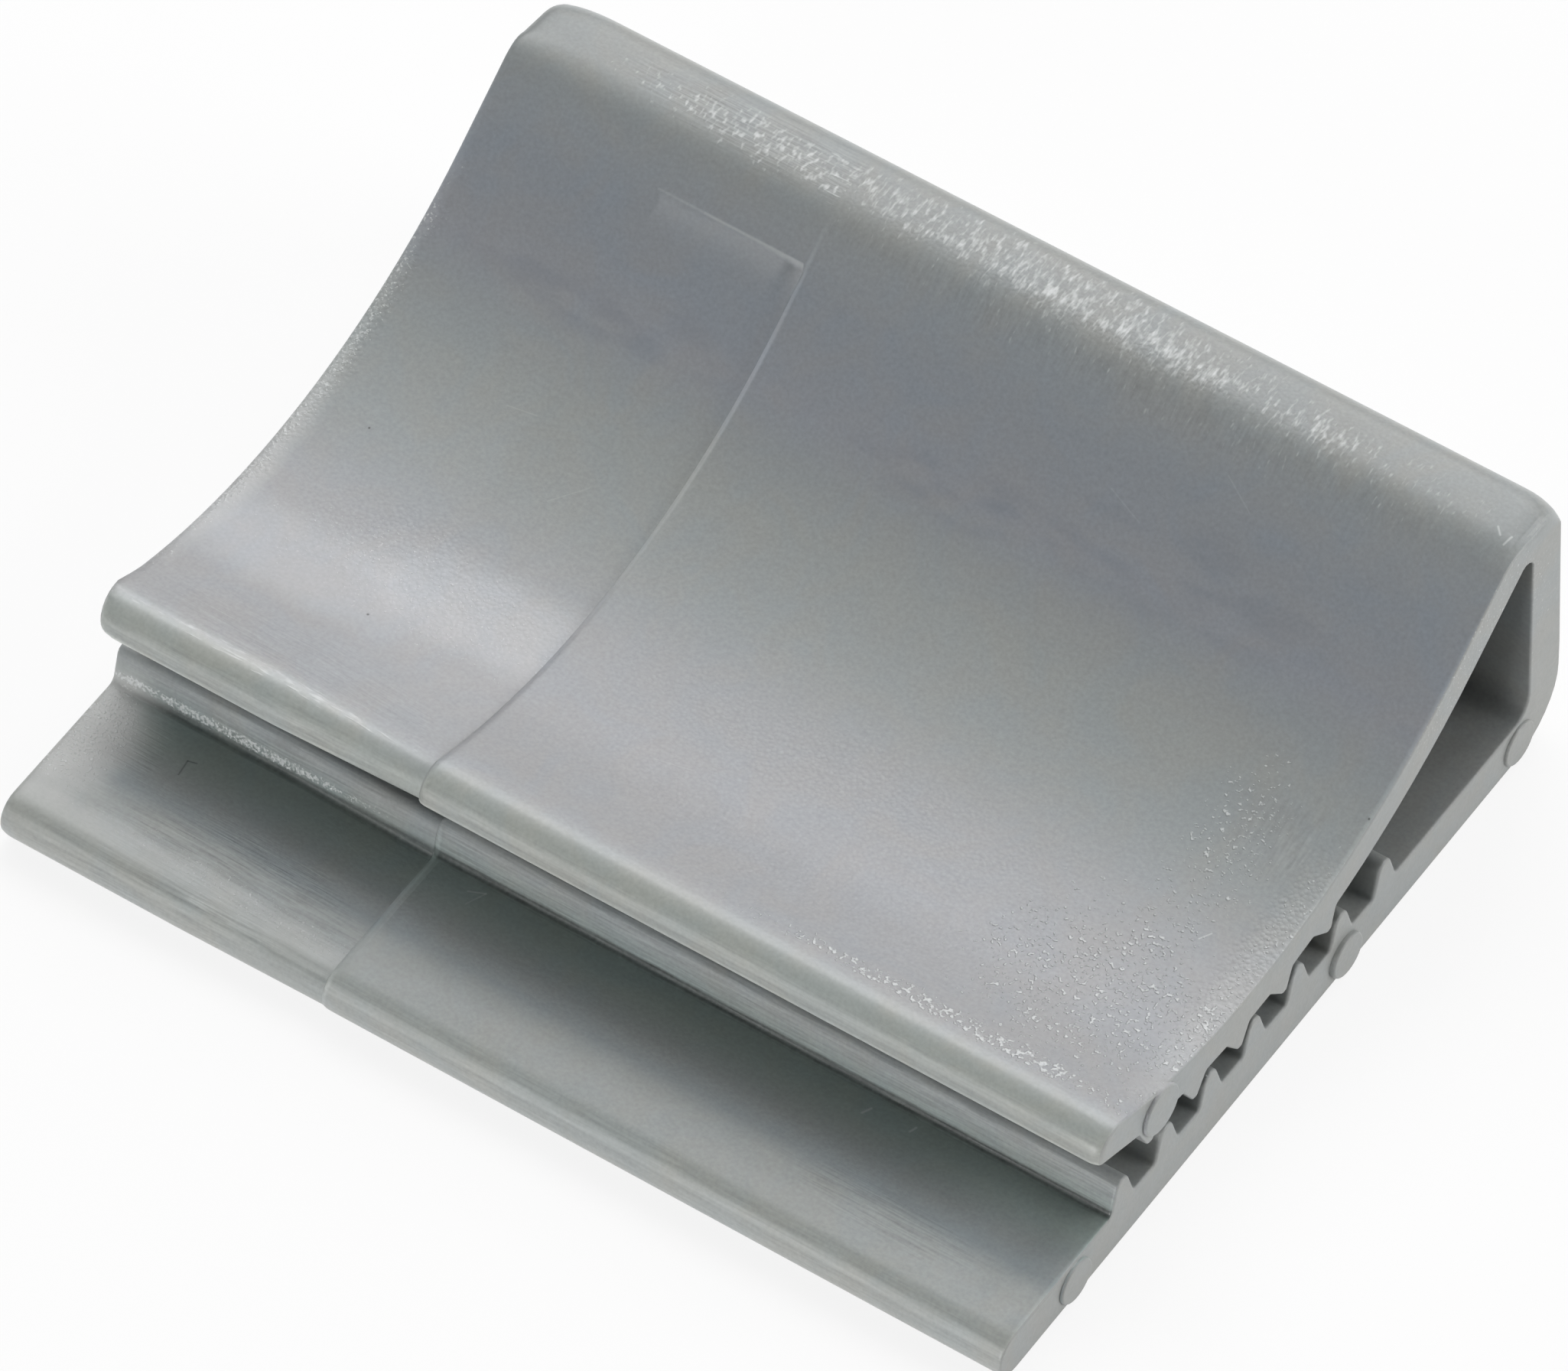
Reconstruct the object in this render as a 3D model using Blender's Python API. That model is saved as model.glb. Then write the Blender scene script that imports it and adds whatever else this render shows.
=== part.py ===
"""Ribbon cable mount: a flat base plate, a rear wall and a springy arm that presses a flat cable down.

The body is moulded in one piece. Its section is nearly the same all along X, so the
outline is worked out once, in the YZ plane, and lofted through stations from the far
end to the near end. Y runs from the open front edge to the rear wall, Z is up.
All sizes are in metres.
"""

import math

import bmesh
import bpy

# Overall sizes of the moulding
LENGTH = 0.0254
WIDTH = 0.0212
HEIGHT = 0.00737

# Base plate and rear wall
PLATE = 0.0012
WALL = 0.00118
HEEL_RADIUS = 0.00165
FLOOR_FILLET = 0.0006

# Crown, where the wall turns over into the arm
CROWN_RADIUS = 0.00147
CROWN_BACK_RADIUS = 0.00078
APEX_FILLET = 0.00024

# Arm: a straight slope down from the crown, then one long arc that rises again to the lip
ARM = 0.00098
ARM_SLOPE_RUN = 0.00213
ARM_LOW_FROM_REAR = 0.01191
THROAT = 0.00104
LIP_SET_BACK = 0.00363
LIP_RADIUS = 0.00063
LIP_EDGE_RADIUS = 0.00015

# Ridges across the base plate, which the cable is pressed on
RIDGE_COUNT = 7
RIDGE_PITCH = 0.00165
RIDGE_BEHIND_LIP = 0.00092
RIDGE_WIDTH = 0.00087
RIDGE_HEIGHT = 0.00085
RIDGE_CREST_RADIUS = 0.00024
RIDGE_FOOT_FILLET = 0.00016

# Teeth under the arm, which lie between the ridges
TOOTH_COUNT = 5
TOOTH_PITCH = 0.00163
TOOTH_BEHIND_LIP = 0.00198
TOOTH_WIDTH = 0.00088
TOOTH_DEPTH = 0.00054
TOOTH_TIP_WIDTH = 0.00016
TOOTH_TIP_LEAN = 0.00008
TOOTH_TIP_FILLET = 0.00009
TOOTH_FOOT_FILLET = 0.00012

# Seam between the two mould inserts: the far surfaces sink towards it, the near edge is rounded
SEAM_FROM_FAR_END = 0.0083
SEAM_STEP = 0.00016
SEAM_ROUND = 0.00025
SEAM_FADE = 0.0037
CREASE_FROM_CROWN = 0.00095
CREASE_WIDTH = 0.00018

# Rounding of the crown at the near end
CROWN_END_LENGTH = 0.0007
CROWN_END_DEPTH = 0.00015

# Ejector pads on the near end face: distance behind the front edge, radius and how proud
PLATE_PAD_RADIUS = 0.00055
PLATE_PAD_EDGE = 0.00004
FRONT_PAD_BEHIND_FRONT = 0.00275
FRONT_PAD_PROUD = 0.00008
MIDDLE_PAD_BEHIND_FRONT = 0.0129
MIDDLE_PAD_PROUD = 0.00012
HEEL_PAD_FROM_REAR = 0.00158
HEEL_PAD_PROUD = 0.00007
ARM_PAD_RADIUS = 0.00062
ARM_PAD_EDGE = 0.00004
ARM_PAD_BEHIND_LIP = 0.00227
ARM_PAD_PROUD = 0.00009
PAD_ROOT = 0.0003

# Most of a side that the rounding of its corner may take
ROUNDED_SHARE = 0.9

# Facets
HEEL_STEPS = 8
CROWN_FRONT_STEPS = 10
CROWN_BACK_STEPS = 8
ARM_STEPS = 24
UNDER_STEPS = 8
NOSE_STEPS = 12
LIP_STEPS = 7
SMALL_STEPS = 3
ROUND_STEPS = 4
PAD_SIDES = 40

# Places that follow from the sizes
FRONT = -WIDTH / 2
REAR = WIDTH / 2
LIP = FRONT + LIP_SET_BACK
FAR_END = -(LENGTH + MIDDLE_PAD_PROUD) / 2
NEAR_END = FAR_END + LENGTH


class Arm:
    """The arm's centre arc and slope, which follow from the crown and from the throat's height."""

    low_y = REAR - ARM_LOW_FROM_REAR
    low_z = PLATE + THROAT + ARM
    crown_y = REAR - CROWN_RADIUS
    crown_z = HEIGHT - CROWN_RADIUS
    across = crown_y - low_y
    rise = crown_z - low_z
    top_radius = (across**2 + rise**2 - CROWN_RADIUS**2 - ARM_SLOPE_RUN**2) / (
        2 * (rise + CROWN_RADIUS)
    )
    under_radius = top_radius + ARM
    centre_z = low_z + top_radius
    slope = (
        math.pi / 2
        + math.atan2(rise - top_radius, across)
        - math.atan(ARM_SLOPE_RUN / (top_radius + CROWN_RADIUS))
    )


def arc(centre_y, centre_z, radius, start, end, steps):
    """Points on a circle from one angle to another, in degrees from +Y towards +Z."""
    angles = [math.radians(start + (end - start) * i / steps) for i in range(steps + 1)]
    return [(centre_y + radius * math.cos(a), centre_z + radius * math.sin(a)) for a in angles]


def on_arm(radius, angle):
    """Point of the arm's arcs at an angle from straight down, positive towards the rear."""
    return (Arm.low_y + radius * math.sin(angle), Arm.centre_z - radius * math.cos(angle))


def angle_at(radius, y):
    """Angle at which an arc of the arm reaches a given Y."""
    return math.asin((y - Arm.low_y) / radius)


def rounded_corner(before, corner, after, radius, steps):
    """The arc that rounds one corner of an outline, no longer than its sides allow."""
    side_a = (before[0] - corner[0], before[1] - corner[1])
    side_b = (after[0] - corner[0], after[1] - corner[1])
    length_a, length_b = math.hypot(*side_a), math.hypot(*side_b)
    unit_a = (side_a[0] / length_a, side_a[1] / length_a)
    unit_b = (side_b[0] / length_b, side_b[1] / length_b)
    half = math.acos(unit_a[0] * unit_b[0] + unit_a[1] * unit_b[1]) / 2
    longest = ROUNDED_SHARE * min(length_a, length_b)
    reach = min(radius / math.tan(half), longest)
    radius = reach * math.tan(half)
    middle = (unit_a[0] + unit_b[0], unit_a[1] + unit_b[1])
    scale = radius / math.sin(half) / math.hypot(*middle)
    centre = (corner[0] + middle[0] * scale, corner[1] + middle[1] * scale)
    first = (corner[0] + unit_a[0] * reach - centre[0], corner[1] + unit_a[1] * reach - centre[1])
    last = (corner[0] + unit_b[0] * reach - centre[0], corner[1] + unit_b[1] * reach - centre[1])
    start = math.atan2(first[1], first[0])
    turn = (math.atan2(last[1], last[0]) - start + math.pi) % (2 * math.pi) - math.pi
    return arc(*centre, radius, math.degrees(start), math.degrees(start + turn), steps)


def rounded_run(corners, steps):
    """The inner corners (point, radius) of an open run, each rounded, without the run's ends."""
    points = []
    for (before, _), (corner, radius), (after, _) in zip(corners, corners[1:], corners[2:]):
        points += rounded_corner(before, corner, after, radius, steps)
    return points


def crown_outline(wear):
    """Wall to arm over the crown, taken back by the end rounding in the middle of the turn."""
    back = CROWN_BACK_RADIUS
    shape = arc(REAR - back, HEIGHT - back, back, 0, 90, CROWN_BACK_STEPS)
    front_end = 90 + math.degrees(Arm.slope)
    shape += arc(Arm.crown_y, Arm.crown_z, CROWN_RADIUS, 90, front_end, CROWN_FRONT_STEPS)
    points = []
    for i, (y, z) in enumerate(shape):
        away = (y - Arm.crown_y, z - Arm.crown_z)
        depth = wear * math.sin(math.pi * i / (len(shape) - 1)) / math.hypot(*away)
        points.append((y - away[0] * depth, z - away[1] * depth))
    return points


def arm_top_outline(sink):
    """Slope with its crease, then the long arc, up to where the lip's rounding starts."""
    down = (-math.cos(Arm.slope), -math.sin(Arm.slope))
    inward = (math.sin(Arm.slope), -math.cos(Arm.slope))
    start = on_arm(-CROWN_RADIUS, Arm.slope)
    start = (start[0] - Arm.low_y + Arm.crown_y, start[1] - Arm.centre_z + Arm.crown_z)
    points = []
    for run, depth in ((CREASE_FROM_CROWN, 0), (CREASE_FROM_CROWN + CREASE_WIDTH, sink)):
        points.append(tuple(start[k] + down[k] * run + inward[k] * depth for k in (0, 1)))
    radius = Arm.top_radius + sink
    end = angle_at(radius, LIP + 2 * LIP_RADIUS)
    for i in range(ARM_STEPS + 1):
        points.append(on_arm(radius, Arm.slope + (end - Arm.slope) * i / ARM_STEPS))
    return points


def lip_outline(sink):
    """Blunt front end of the arm."""
    front = LIP + sink
    radius = Arm.top_radius + sink
    top = on_arm(radius, angle_at(radius, front))
    bottom = on_arm(Arm.under_radius, angle_at(Arm.under_radius, front))
    before = on_arm(radius, angle_at(radius, LIP + 2 * LIP_RADIUS))
    after = on_arm(Arm.under_radius, angle_at(Arm.under_radius, LIP + 2 * LIP_RADIUS))
    rounding = rounded_run([(before, 0), (top, LIP_RADIUS), (bottom, 0)], LIP_STEPS)
    edge = rounded_run([(rounding[-1], 0), (bottom, LIP_EDGE_RADIUS), (after, 0)], SMALL_STEPS)
    return rounding + edge


def tooth_outline(centre):
    """One tooth under the arm, steeper at the back than at the front."""

    def below(y, depth):
        return on_arm(Arm.under_radius + depth, angle_at(Arm.under_radius, y))

    tip = centre + TOOTH_TIP_LEAN
    side = TOOTH_WIDTH / 2
    corners = [
        (below(centre - 2 * side, 0), 0),
        (below(centre - side, 0), TOOTH_FOOT_FILLET),
        (below(tip - TOOTH_TIP_WIDTH / 2, TOOTH_DEPTH), TOOTH_TIP_FILLET),
        (below(tip + TOOTH_TIP_WIDTH / 2, TOOTH_DEPTH), TOOTH_TIP_FILLET),
        (below(centre + side, 0), TOOTH_FOOT_FILLET),
        (below(centre + 2 * side, 0), 0),
    ]
    return rounded_run(corners, SMALL_STEPS)


def under_arm_outline(floor):
    """Teeth, the smooth rest of the underside, the narrow apex and the wall's inner face."""
    points = []
    for i in range(TOOTH_COUNT):
        points += tooth_outline(LIP + TOOTH_BEHIND_LIP + i * TOOTH_PITCH)
    last_tooth = LIP + TOOTH_BEHIND_LIP + (TOOTH_COUNT - 1) * TOOTH_PITCH
    start = angle_at(Arm.under_radius, last_tooth + TOOTH_WIDTH)
    for i in range(UNDER_STEPS + 1):
        angle = start + (Arm.slope - start) * i / UNDER_STEPS
        points.append(on_arm(Arm.under_radius, angle))
    inner = REAR - WALL
    apex = (inner, points[-1][1] + (inner - points[-1][0]) * math.tan(Arm.slope))
    corner = (inner, floor)
    points += rounded_run([(points[-1], 0), (apex, APEX_FILLET), (corner, 0)], ROUND_STEPS)
    points += rounded_run([(apex, 0), (corner, FLOOR_FILLET), ((LIP, floor), 0)], ROUND_STEPS)
    return points


def ridge_outline(centre, floor):
    """One ridge on the plate, a rounded wedge whose flanks touch the crest's circle."""
    half = RIDGE_WIDTH / 2
    to_crest = RIDGE_HEIGHT - RIDGE_CREST_RADIUS
    flank = math.atan2(to_crest, half) + math.asin(RIDGE_CREST_RADIUS / math.hypot(half, to_crest))
    peak = floor + half * math.tan(flank)
    corners = [
        ((centre + 2 * half, floor), 0),
        ((centre + half, floor), RIDGE_FOOT_FILLET),
        ((centre, peak), RIDGE_CREST_RADIUS),
        ((centre - half, floor), RIDGE_FOOT_FILLET),
        ((centre - 2 * half, floor), 0),
    ]
    return rounded_run(corners, ROUND_STEPS)


def section(sink, wear):
    """Closed outline seen from the near end, anticlockwise from the heel.

    sink lowers the plate's top, the arm's top and the lip; wear takes back the crown.
    """
    floor = PLATE - sink
    points = arc(REAR - HEEL_RADIUS, HEEL_RADIUS, HEEL_RADIUS, -90, 0, HEEL_STEPS)
    points += crown_outline(wear)
    points += arm_top_outline(sink)
    points += lip_outline(sink)[1:]
    points += under_arm_outline(floor)
    for i in reversed(range(RIDGE_COUNT)):
        points += ridge_outline(LIP + RIDGE_BEHIND_LIP + i * RIDGE_PITCH, floor)
    nose = floor / 2
    points += arc(FRONT + sink / 2 + nose, nose, nose, 90, 270, NOSE_STEPS)
    return points


def stations():
    """Place along X, sink and crown wear of each section, from the far end to the near end."""
    seam = FAR_END + SEAM_FROM_FAR_END
    yield FAR_END, 0, 0
    yield seam - SEAM_FADE, 0, 0
    yield seam, SEAM_STEP, 0
    for i in range(ROUND_STEPS + 1):
        share = (i + 0.5) / (ROUND_STEPS + 0.5)
        sink = SEAM_STEP * (1 - math.sqrt(1 - (1 - share) ** 2))
        yield seam + SEAM_ROUND * share, sink, 0
    for i in range(ROUND_STEPS + 1):
        share = i / ROUND_STEPS
        wear = CROWN_END_DEPTH * (1 - math.sqrt(1 - share**2))
        yield NEAR_END - CROWN_END_LENGTH * (1 - share), 0, wear


def lofted_body():
    """Mesh of the whole moulding without its pads."""
    bm = bmesh.new()
    rings = []
    for x, sink, wear in stations():
        rings.append([bm.verts.new((x, y, z)) for y, z in section(sink, wear)])
    for far, near in zip(rings, rings[1:]):
        for i in range(len(far)):
            j = (i + 1) % len(far)
            bm.faces.new((far[i], far[j], near[j], near[i]))
    bm.faces.new(list(reversed(rings[0])))
    bm.faces.new(rings[-1])
    mesh = bpy.data.meshes.new("clip_body")
    bm.to_mesh(mesh)
    bm.free()
    return mesh


def pad_places():
    """Y, Z, radius and proud height of each ejector pad."""
    plate_z = PLATE_PAD_RADIUS + PLATE_PAD_EDGE
    yield FRONT + FRONT_PAD_BEHIND_FRONT, plate_z, PLATE_PAD_RADIUS, FRONT_PAD_PROUD
    yield FRONT + MIDDLE_PAD_BEHIND_FRONT, plate_z, PLATE_PAD_RADIUS, MIDDLE_PAD_PROUD
    yield REAR - HEEL_PAD_FROM_REAR, plate_z, PLATE_PAD_RADIUS, HEEL_PAD_PROUD
    depth = Arm.top_radius + ARM_PAD_EDGE + ARM_PAD_RADIUS
    arm_y, arm_z = on_arm(depth, angle_at(depth, LIP + ARM_PAD_BEHIND_LIP))
    yield arm_y, arm_z, ARM_PAD_RADIUS, ARM_PAD_PROUD


def pad_cylinders():
    """Mesh of the four pads, each rooted in the end face."""
    bm = bmesh.new()
    for y, z, radius, proud in pad_places():
        made = bmesh.ops.create_cone(
            bm,
            cap_ends=True,
            segments=PAD_SIDES,
            radius1=radius,
            radius2=radius,
            depth=PAD_ROOT + proud,
        )
        for v in made["verts"]:
            v.co = (NEAR_END + (proud - PAD_ROOT) / 2 + v.co.z, y + v.co.x, z + v.co.y)
    mesh = bpy.data.meshes.new("ejector_pads")
    bm.to_mesh(mesh)
    bm.free()
    return mesh


def grey_plastic():
    """Mid-grey satin moulding plastic."""
    material = bpy.data.materials.new("grey_plastic")
    material.use_nodes = True
    shader = material.node_tree.nodes["Principled BSDF"]
    shader.inputs["Base Color"].default_value = (0.34, 0.36, 0.36, 1)
    shader.inputs["Roughness"].default_value = 0.45
    shader.inputs["Metallic"].default_value = 0
    return material


def clear_scene():
    for item in list(bpy.data.objects):
        bpy.data.objects.remove(item)


def collection(name):
    made = bpy.data.collections.new(name)
    bpy.context.scene.collection.children.link(made)
    return made


def main():
    clear_scene()
    parts = collection("ribbon_cable_mount")
    cutters = collection("joined_shapes")
    body = bpy.data.objects.new("clip_body", lofted_body())
    body.data.materials.append(grey_plastic())
    parts.objects.link(body)
    pads = bpy.data.objects.new("ejector_pads", pad_cylinders())
    pads.hide_render = True
    pads.display_type = "WIRE"
    cutters.objects.link(pads)
    join = body.modifiers.new("pads", "BOOLEAN")
    join.operation = "UNION"
    join.object = pads
    facets = body.modifiers.new("facets", "TRIANGULATE")
    facets.quad_method = "BEAUTY"
    facets.ngon_method = "BEAUTY"


main()
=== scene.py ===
"""Looks of the ribbon cable mount: one satin grey moulding on a plain white studio floor.

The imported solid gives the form. It is copied, cut into close sections, given the
soft edges of a real moulding and dressed in one plastic with two mould textures.
Sizes of the form are in metres. Places and sizes in the plastic are in millimetres,
and its bumps' heights in micrometres.
"""

import math

import bpy
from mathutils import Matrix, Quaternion, Vector


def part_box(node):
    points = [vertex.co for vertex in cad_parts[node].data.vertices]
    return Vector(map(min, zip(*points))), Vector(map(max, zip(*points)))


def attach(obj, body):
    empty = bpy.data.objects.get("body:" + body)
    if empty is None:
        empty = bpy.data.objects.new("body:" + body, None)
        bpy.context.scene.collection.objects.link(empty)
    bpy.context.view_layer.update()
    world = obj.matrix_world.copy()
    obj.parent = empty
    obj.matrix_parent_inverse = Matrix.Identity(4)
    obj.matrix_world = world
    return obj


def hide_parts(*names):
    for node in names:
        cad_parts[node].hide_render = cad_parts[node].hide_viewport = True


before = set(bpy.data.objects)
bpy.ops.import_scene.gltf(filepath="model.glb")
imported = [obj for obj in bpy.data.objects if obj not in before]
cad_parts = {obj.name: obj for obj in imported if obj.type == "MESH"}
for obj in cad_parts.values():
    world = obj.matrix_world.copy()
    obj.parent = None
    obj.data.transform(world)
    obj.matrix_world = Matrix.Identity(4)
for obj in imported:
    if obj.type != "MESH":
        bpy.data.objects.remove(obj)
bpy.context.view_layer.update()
LOWEST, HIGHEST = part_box("clip_body")

# Camera: where it looks from, in degrees, and what it looks at
CAMERA_AZIMUTH = 35.36995
CAMERA_ELEVATION = 51.77843
CAMERA_ROLL = -1.30415
CAMERA_DISTANCE = 0.3366742
CAMERA_AIM = Vector((-0.00047405, 0.00078102, 0.002))
CAMERA_LENS = 366.851
CAMERA_SENSOR = 36
CAMERA_CLIP = 0.01

# Floor
FLOOR_SIZE = 4
FLOOR_COLOUR = (0.88, 0.88, 0.88, 1)
FLOOR_ROUGHNESS = 0.9
FLOOR_WHITENESS = 0.86
WHITE = (1, 1, 1, 1)

# Softboxes: azimuth and elevation of each, its distance, its side and its power
SOFTBOXES = {
    "back_softbox": (180, 50, 0.45, 0.30, 0.95),
    "right_back_softbox": (120, 18, 0.45, 0.30, 1.34),
    "left_back_softbox": (210, 35, 0.45, 0.30, 0.61),
    "left_softbox": (240, 50, 0.45, 0.30, 0.69),
    "front_softbox": (0, 18, 0.45, 0.30, 0.4),
    "low_front_softbox": (0, 6, 0.45, 0.12, 1.0),
}
WORLD_COLOUR = (0.9, 0.92, 0.95, 1)
WORLD_STRENGTH = 0.02

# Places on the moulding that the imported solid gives
MIDDLE_PAD_HEIGHT = 0.00012
NEAR_FACE = HIGHEST.x - MIDDLE_PAD_HEIGHT
FAR_FACE = LOWEST.x
FRONT = LOWEST.y
REAR = HIGHEST.y
SEAM = FAR_FACE + 0.0083
SEAM_ROUND = 0.00025

# Ejector pads on the near face: Y, Z, radius and height of each
PADS = (
    (FRONT + 0.00275, 0.00059, 0.00055, 0.00008),
    (FRONT + 0.0129, 0.00059, 0.00055, MIDDLE_PAD_HEIGHT),
    (REAR - 0.00158, 0.00059, 0.00055, 0.00007),
    (FRONT + 0.0059, 0.00298, 0.00062, 0.00009),
)
PAD_SIDES = 64
PAD_ROOT = 0.0003
PAD_EDGE = 0.00005
PAD_EDGE_SHARE = 0.8
PAD_EDGE_STEPS = 3

# Welding, sections along the body and shading
MERGE = 1e-7
END_MERGE = 1e-5
FLAT_FACE_ANGLE = math.radians(3)
SECTION_SPACING = 0.00025
SEAM_SECTIONS = 10
NEAR_END_SECTIONS = 6
SMOOTH_ANGLE = math.radians(50)

# Soft edges of the end faces: inward reach of each, and length along X where it differs
NEAR_EDGE = 0.00006
FAR_EDGE = 0.00008
FAR_EDGE_LENGTH = 0.00028
EDGE_STEPS = 5
EDGE_SUPPORT = 0.00001
SQUARE_TO_X = 0.9

# Arm: its top is an arc about a line along X
ARM_LOW_Y = -0.00131
ARM_LOW_Z = 0.00322
ARM_RADIUS = 0.01319
ARM_THICKNESS = 0.00098

# The arm's top dips a little towards the near end, less and less towards the slope
DIP_LENGTH = 0.0009
DIP_DEPTH = 0.00007
DIP_FROM = 0.0042
DIP_FULL = 0.001

# The lip's corners are rounded in plan: length along X and depth of each, and the places along
# Y between which the rounding grows to full
FAR_LIP_CORNER = (0.0006, 0.0003)
NEAR_LIP_CORNER = (0.0003, 0.00013)
LIP_CORNER_FROM = -0.0052
LIP_CORNER_FULL = -0.0064

# The crown is rounded off towards both ends: length along X and depth of each, and the places
# along Y and Z between which the rounding grows to full
FAR_CROWN_CORNER = (0.0014, 0.00023)
NEAR_CROWN_CORNER = (0.0009, 0.0002)
CROWN_CORNER_Y = (0.0086, 0.0096)
CROWN_CORNER_Z = (0.0058, 0.0070)

# Plastic: linear colours along the arm, along the base and of the end faces, at places along Y.
# Along the arm and the base they hold painted light and shade besides the plastic's tint: the lip's
# front and the nose lighter as painted light, the upper slope darker as painted shade, and the base's
# top behind the lip lighter and darker in bands of painted light and painted shade from the arm,
# darkest at the ridge's foot. The end faces have the plain colour.
ARM_SHADED_COLOURS = (
    (-6.95, (0.33, 0.345, 0.33)),
    (-6.75, (0.35, 0.375, 0.352)),
    (-6.5, (0.36, 0.38, 0.362)),
    (-6.2, (0.335, 0.345, 0.35)),
    (-5.9, (0.305, 0.31, 0.32)),
    (-4.4, (0.295, 0.30, 0.312)),
    (-3.0, (0.308, 0.313, 0.328)),
    (-1.0, (0.303, 0.311, 0.323)),
    (1.0, (0.288, 0.308, 0.308)),
    (3.0, (0.278, 0.296, 0.292)),
    (4.2, (0.256, 0.272, 0.276)),
    (5.2, (0.25, 0.263, 0.282)),
    (7.0, (0.237, 0.258, 0.28)),
    (7.8, (0.252, 0.27, 0.282)),
    (8.7, (0.26, 0.274, 0.268)),
    (9.2, (0.253, 0.266, 0.261)),
    (10.6, (0.30, 0.312, 0.307)),
)
BASE_SHADED_COLOURS = (
    (-10.6, (0.35, 0.365, 0.355)),
    (-10.25, (0.33, 0.35, 0.335)),
    (-10.0, (0.285, 0.305, 0.295)),
    (-9.6, (0.312, 0.332, 0.327)),
    (-9.0, (0.305, 0.328, 0.322)),
    (-8.55, (0.243, 0.279, 0.29)),
    (-8.0, (0.318, 0.347, 0.349)),
    (-7.2, (0.306, 0.36, 0.342)),
    (-6.5, (0.235, 0.285, 0.268)),
    (-6.3, (0.29, 0.31, 0.31)),
    (-5.5, (0.30, 0.313, 0.305)),
    (10.6, (0.30, 0.312, 0.305)),
)
END_COLOURS = ((-10.6, (0.305, 0.317, 0.31)), (10.6, (0.305, 0.317, 0.31)))

# Heights between which the base's colours give way to the arm's
ARM_ABOVE = (1.9, 3.0)

# Textures left by the mould and by use. Each has a kind, the size of one bump along X, Y and Z,
# how much its height changes the tone, and its patches: centre, reach and height of the bumps
EVERYWHERE = ((0, 0, 3), (90, 90, 90))
FINE = (0.09, 0.09, 0.09)
ALONG_X = (1.1, 0.055, 0.055)
ALONG_Y = (0.08, 0.5, 0.5)
PEBBLES = (0.10, 0.10, 0.10)
NEAR_TEXTURES = (
    ("grain", FINE, 0.11, ((*EVERYWHERE, 2.5),)),
    (
        "grain",
        ALONG_X,
        0.09,
        (
            ((4, -6.3, 1.7), (30, 0.5, 0.8), 7),
            ((4, -6.9, 3.8), (30, 0.3, 0.6), 4),
            ((4, -10.4, 0.8), (30, 0.5, 0.9), 4),
            ((8.8, -9.0, 1.2), (3.2, 0.8, 0.5), 8),
        ),
    ),
    (
        "grain",
        ALONG_Y,
        0.035,
        (
            ((3.5, 8.5, 7.0), (11, 1.1, 1.3), 10),
            ((11.2, 2.0, 3.7), (1.5, 1.5, 1), 11),
        ),
    ),
    (
        "cells",
        PEBBLES,
        0.012,
        (
            ((2, 9.4, 7.4), (10, 1.3, 0.9), 6),
            ((3, -3.0, 3.5), (10, 3.6, 1.7), 5),
            ((12.5, -1.4, 3.4), (1.1, 5.6, 2), 8),
        ),
    ),
)
FAR_TEXTURES = (
    ("grain", FINE, 0.11, ((*EVERYWHERE, 2.5),)),
    (
        "grain",
        ALONG_X,
        0.09,
        (
            ((-8.5, -5.3, 4), (5.5, 1.4, 1), 4),
            ((-8.5, -6.9, 3.8), (6, 0.5, 0.6), 6),
            ((-8.5, -6.3, 1.7), (6, 0.5, 0.8), 7),
            ((-12.1, -7.8, 1.2), (1.9, 1.8, 0.5), 9),
            ((-7.4, -9.3, 1.2), (4.6, 1.5, 0.5), 10),
            ((-8.5, -10.4, 0.8), (6, 0.6, 0.9), 6),
            ((-7.0, 9.4, 7.3), (4.4, 1.0, 0.8), 9),
        ),
    ),
    (
        "cells",
        PEBBLES,
        0.012,
        (
            ((-7.8, -1.9, 3.4), (5.8, 2.0, 1.4), 6),
            ((-12.7, 1, 4), (0.7, 9, 4), 8),
            ((-10.0, -6.41, 1.42), (4.6, 0.15, 0.15), 18),
        ),
    ),
)
END_TEXTURES = (("grain", FINE, 0.07, ((*EVERYWHERE, 2.5),)),)

# Raised sparks, whose pale colour paints a glint of light on each bump: size of one along X, Y and Z,
# height, how pale the painted glint is, how soft the rims are, and the patches: centre, reach and how
# thick the sparks lie
NEAR_SPARKS = (
    (
        (0.1, 0.1, 0.1),
        18,
        0.6,
        0.06,
        (
            ((10.0, -3.2, 3.5), (3.8, 3.2, 1.7), 0.62),
            ((10.3, 1.2, 3.6), (1.3, 3.6, 1.5), 0.4),
            ((8.0, -5.72, 3.98), (6.4, 0.45, 0.4), 0.85),
            ((12.6, -1.4, 3.4), (0.8, 5.2, 2), 0.42),
        ),
    ),
    (
        (0.085, 0.25, 0.25),
        10,
        0.7,
        0.35,
        (
            ((0.4, 9.45, 7.4), (9.6, 0.95, 0.9), 1.1),
            ((9.0, 9.2, 7.35), (4.8, 0.7, 0.6), 0.5),
            ((4, 8.6, 7.1), (11, 1.0, 0.9), 0.45),
        ),
    ),
)
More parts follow.
